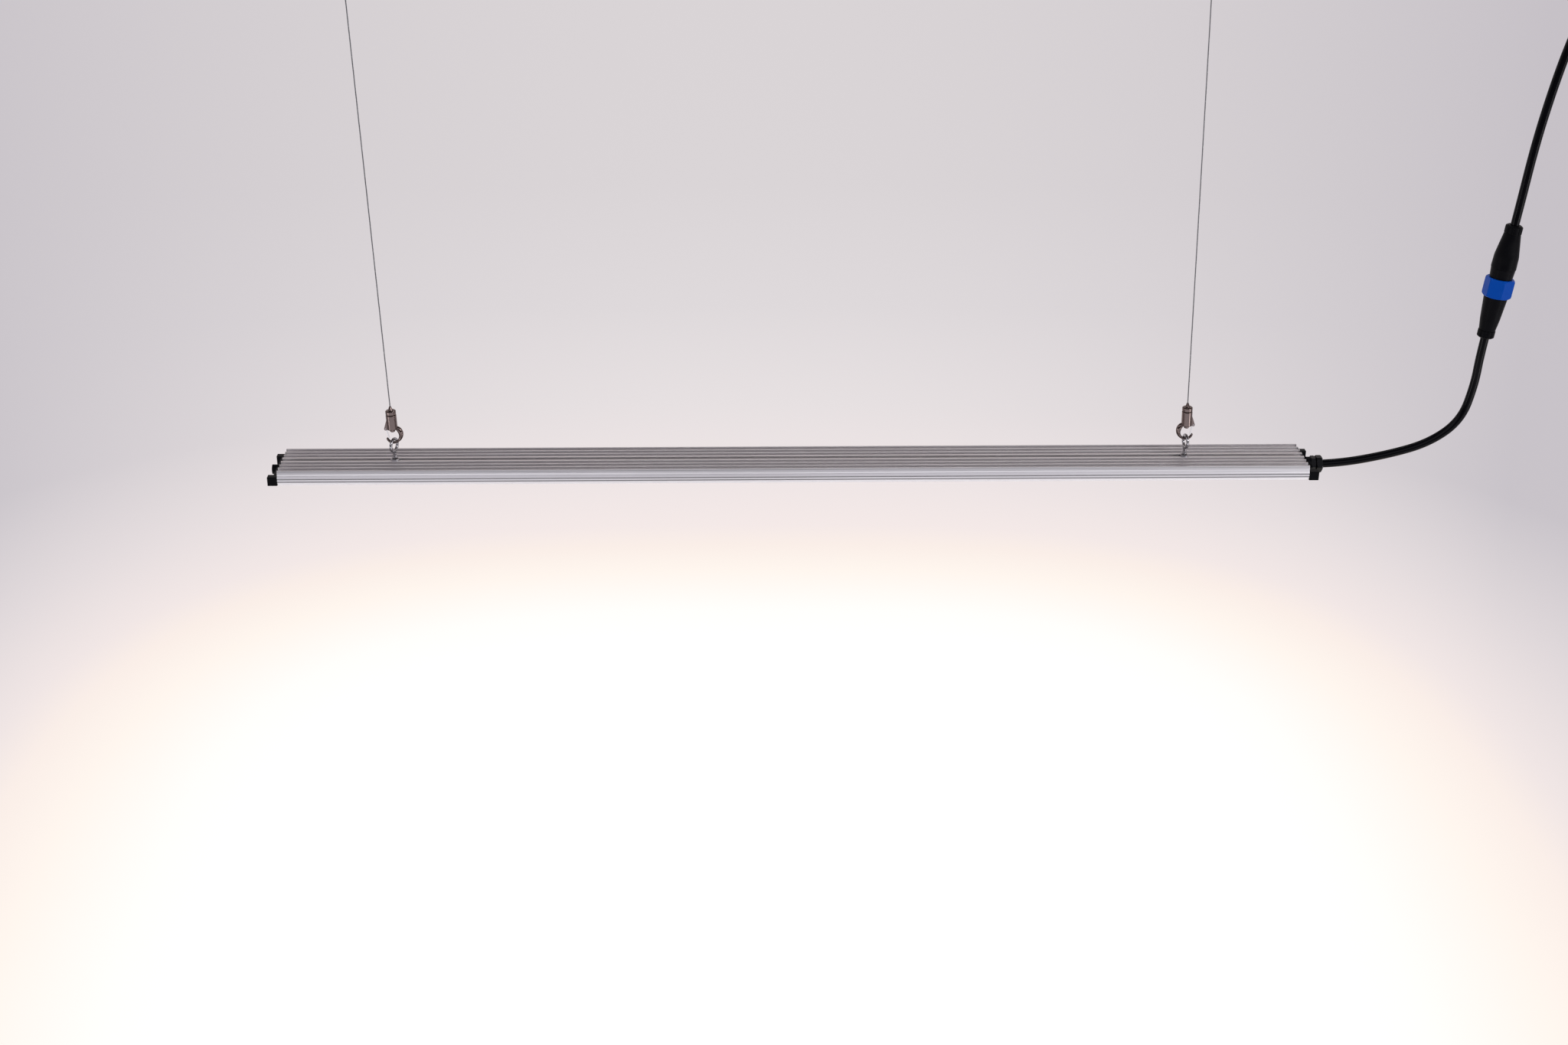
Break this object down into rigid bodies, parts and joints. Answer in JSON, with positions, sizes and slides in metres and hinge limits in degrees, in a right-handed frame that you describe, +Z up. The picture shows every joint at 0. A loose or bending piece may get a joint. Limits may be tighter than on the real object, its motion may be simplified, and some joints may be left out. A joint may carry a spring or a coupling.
{
  "type": "linear grow lamp",
  "caption": "Slim finned grow light bar hung on thin steel wires by snap hooks and ring bolts, with a black lead and an in-line connector.",
  "frame": {"origin": "on the ceiling face, midway between the two wire fittings", "axes": "+X along the bar towards the cable end, +Z up to the ceiling, -Y to the front"},
  "size_m": [1.4984, 0.0712, 0.6113],
  "materials": {
    "bar_aluminium": "satin, lightly brushed along the bar",
    "opal_lens": "opal, softly glowing",
    "seal_rubber": "matte",
    "thermal_tape": "matte",
    "board_white": "solder mask, semi-matte",
    "led_white": "phosphor under clear resin",
    "led_red": "clear resin",
    "core_insulation": "semi-matte",
    "cap_black": "fine moulded grain",
    "screw_steel": "zinc plated",
    "gland_black": "semi-matte",
    "satin_nickel": "satin nickel",
    "outlet_white": "semi-matte",
    "steel_wire": "stranded, bare",
    "plug_black": "semi-matte",
    "contact_brass": "plain",
    "lead_jacket": "semi-matte",
    "ring_blue": "semi-gloss",
    "bright_nickel": "polished",
    "dark_nickel": "polished, darkened",
    "gate_steel": "polished sheet",
    "spring_steel": "bright wire",
    "ball_steel": "polished"
  },
  "bodies": {
    "ceiling": {"ceiling_plate_left": "satin_nickel", "ceiling_plate_right": "satin_nickel", "ceiling_cup_left": "satin_nickel", "ceiling_cup_right": "satin_nickel", "supply_outlet": "outlet_white", "outlet_bush": "gland_black"},
    "hangers": {"wire_left": "steel_wire", "wire_right": "steel_wire", "wire_stop_left": "satin_nickel", "wire_stop_right": "satin_nickel", "gripper_barrel_left": "dark_nickel", "gripper_barrel_right": "dark_nickel", "plunger_spring_left": "spring_steel", "plunger_spring_right": "spring_steel", "clamp_nut_lower": "plug_black", "clamp_nut_upper": "plug_black", "cord_grommets": "seal_rubber", "socket_body": "plug_black", "contact_sockets": "contact_brass", "contact_pins": "contact_brass", "plug_front": "plug_black", "coupling_seal": "seal_rubber", "plug_body": "plug_black", "lamp_lead": "lead_jacket", "supply_lead": "lead_jacket"},
    "lamp": {"housing": "bar_aluminium", "lens": "opal_lens", "lens_seals": "seal_rubber", "thermal_tape": "thermal_tape", "led_board": "board_white", "white_leds": "led_white", "red_leds": "led_red", "core_leads": "core_insulation", "end_cap_left": "cap_black", "end_cap_right": "cap_black", "end_gasket_left": "seal_rubber", "end_gasket_right": "seal_rubber", "cap_screws_left": "screw_steel", "cap_screws_right": "screw_steel", "gland_body": "gland_black", "gland_nut": "gland_black", "gland_seal": "seal_rubber", "eye_bolt_left": "bright_nickel", "eye_bolt_right": "bright_nickel", "slot_nut_left": "bright_nickel", "slot_nut_right": "bright_nickel"},
    "lock_ring": {"lock_ring": "ring_blue"},
    "hook_left": {"hook_left": "dark_nickel", "gate_pin_left": "bright_nickel"},
    "gate_left": {"gate_left": "gate_steel", "gate_spring_left": "spring_steel"},
    "plunger_left": {"plunger_left": "dark_nickel", "clamp_balls_left": "ball_steel"},
    "hook_right": {"hook_right": "dark_nickel", "gate_pin_right": "bright_nickel"},
    "gate_right": {"gate_right": "gate_steel", "gate_spring_right": "spring_steel"},
    "plunger_right": {"plunger_right": "dark_nickel", "clamp_balls_right": "ball_steel"}
  },
  "joints": [
    {"name": "hanger_swing", "type": "hinge", "parent": "ceiling", "child": "hangers", "pos_m": [0, 0, -0.021], "axis": [1, 0, 0], "range_deg": [-10, 10], "deforming": ["supply_lead"]},
    {"name": "lamp_rock", "type": "hinge", "parent": "hangers", "child": "lamp", "pos_m": [0, 0, -0.5687], "axis": [1, 0, 0], "range_deg": [-30, 30], "deforming": ["lamp_lead"]},
    {"name": "hook_swivel_left", "type": "hinge", "parent": "hangers", "child": "hook_left", "pos_m": [-0.44552, 0, -0.5687], "axis": [-0.0328, 0, 0.9995], "range_deg": [-48, 6]},
    {"name": "hook_swivel_right", "type": "hinge", "parent": "hangers", "child": "hook_right", "pos_m": [0.48148, 0, -0.5687], "axis": [-0.0328, 0, 0.9995], "range_deg": [-20, 36]},
    {"name": "gate_open_left", "type": "hinge", "parent": "hook_left", "child": "gate_left", "pos_m": [-0.45342, 0, -0.55055], "axis": [0, -1, 0], "range_deg": [0, 26], "stiffness_Nm_per_rad": 0.006, "springref_deg": -20.05, "deforming": ["gate_spring_left"]},
    {"name": "gate_open_right", "type": "hinge", "parent": "hook_right", "child": "gate_right", "pos_m": [0.48817, 0, -0.55007], "axis": [0, 1, 0], "range_deg": [0, 26], "stiffness_Nm_per_rad": 0.006, "springref_deg": -20.05, "deforming": ["gate_spring_right"]},
    {"name": "plunger_press_left", "type": "slide", "parent": "hangers", "child": "plunger_left", "axis": [0.0328, 0, -0.9995], "range_m": [0, 0.002], "stiffness_N_per_m": 500, "springref_m": -0.002, "deforming": ["plunger_spring_left"]},
    {"name": "plunger_press_right", "type": "slide", "parent": "hangers", "child": "plunger_right", "axis": [0.0328, 0, -0.9995], "range_m": [0, 0.002], "stiffness_N_per_m": 500, "springref_m": -0.002, "deforming": ["plunger_spring_right"]},
    {"name": "lock_ring_turn", "type": "hinge", "parent": "hangers", "child": "lock_ring", "pos_m": [0.81928, 0, -0.4433], "axis": [0.1071, 0, 0.9942], "range_deg": [0, 60]}
  ]
}
